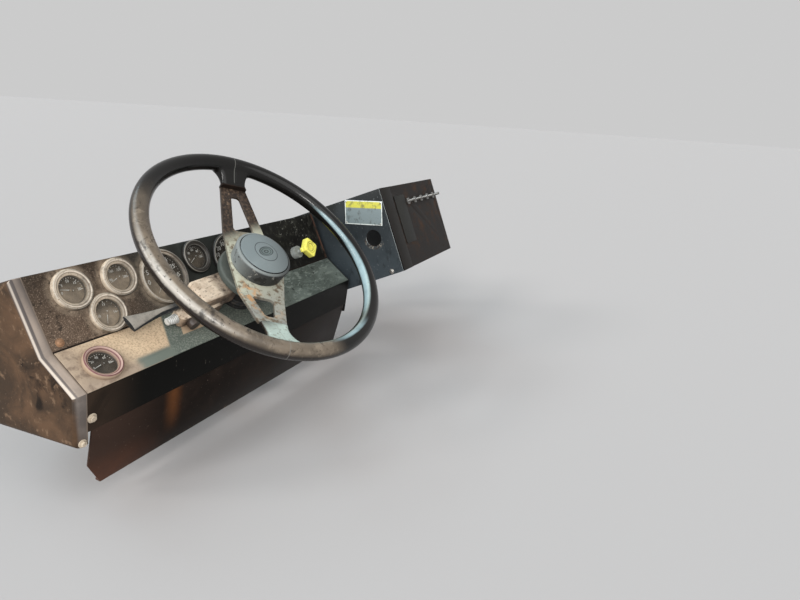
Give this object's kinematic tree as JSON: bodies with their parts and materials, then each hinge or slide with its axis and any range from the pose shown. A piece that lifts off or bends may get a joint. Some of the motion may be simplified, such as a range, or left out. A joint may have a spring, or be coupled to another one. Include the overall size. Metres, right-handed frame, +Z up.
{
  "type": "truck instrument panel with steering column",
  "caption": "Sheet-metal truck instrument panel with round gauges, a raked steering column and a steering wheel that turns, bolted to the cab's cowl.",
  "frame": {"origin": "centre of the four cowl bolts, on the back face of the bracket flanges that meets the cab's cowl", "axes": "+X to the driver's right, +Y forward through the cowl, +Z up"},
  "size_m": [1.021, 0.4582, 0.4869],
  "materials": {
    "panel_black": "worn satin black paint with brown dust",
    "ledge_dusty": "black paint under tan dust",
    "kick_bronze": "dark bronze enamel, semi-gloss",
    "cap_brown": "dark brown moulding, worn",
    "frame_steel": "dull black paint",
    "bezel_cream": "pale ring under dust",
    "case_steel": "plated steel, dull",
    "glass": "flat gauge glass",
    "badge_maroon": "dark red ring",
    "rim_black": "polished black moulding, worn brown",
    "spoke_steel": "rusty brown painted steel",
    "horn_grey": "grey-black moulding",
    "shaft_steel": "ground steel",
    "column_paint": "blue-grey paint",
    "boot_rubber": "black rubber",
    "switch_tan": "die cast housing under tan dust",
    "lever_black": "black moulded paddle",
    "lens_clear": "clear ribbed lens",
    "knob_yellow": "yellow moulding",
    "centre_grey": "dark blue-grey paint, scuffed",
    "centre_rust": "brown paint with rust",
    "plate_black": "matte black plate"
  },
  "bodies": {
    "instrument_panel": {"bracket_left": "frame_steel", "bracket_right": "frame_steel", "centre_bracket_left": "frame_steel", "centre_bracket_right": "frame_steel", "centre_end": "centre_grey", "centre_face": "centre_rust", "centre_floor": "panel_black", "centre_plate": "plate_black", "centre_side": "centre_grey", "centre_toggles": "shaft_steel", "centre_top": "panel_black", "centre_trim": "panel_black", "column_boot": "boot_rubber", "column_flange": "frame_steel", "column_hanger": "frame_steel", "column_jacket": "column_paint", "cowl_rail": "frame_steel", "cross_rail": "frame_steel", "dash_lip": "ledge_dusty", "end_cap_left": "cap_brown", "end_plate_right": "frame_steel", "gauge_1_bezel": "bezel_cream", "gauge_1_case": "case_steel", "gauge_2_bezel": "bezel_cream", "gauge_2_case": "case_steel", "gauge_3_bezel": "bezel_cream", "gauge_3_case": "case_steel", "gauge_4_bezel": "bezel_cream", "gauge_4_case": "case_steel", "gauge_5_bezel": "bezel_cream", "gauge_5_case": "case_steel", "gauge_6_bezel": "bezel_cream", "gauge_6_case": "case_steel", "gauge_glasses": "glass", "gauge_panel": "panel_black", "hazard_knob": "lever_black", "joint_spacers": "shaft_steel", "kick_panel": "kick_bronze", "ledge_gauge_bezel": "badge_maroon", "ledge_gauge_case": "case_steel", "lower_bearing": "shaft_steel", "signal_housing": "switch_tan", "signal_lens": "lens_clear", "signal_lever": "lever_black", "switch_collar": "column_paint", "top_cover": "panel_black", "upper_bearing": "shaft_steel", "valve_body": "case_steel", "valve_knob": "knob_yellow"},
    "steering_wheel": {"wheel_rim": "rim_black", "spoke_frame": "spoke_steel", "wheel_hub": "spoke_steel", "steering_shaft": "shaft_steel", "horn_base": "horn_grey", "horn_cap": "horn_grey"}
  },
  "joints": [
    {"name": "steering_turn", "type": "hinge", "parent": "instrument_panel", "child": "steering_wheel", "pos_m": [0, -0.27, 0.1], "axis": [-0.0619, -0.6159, 0.7854], "range_deg": [-900, 900]}
  ]
}
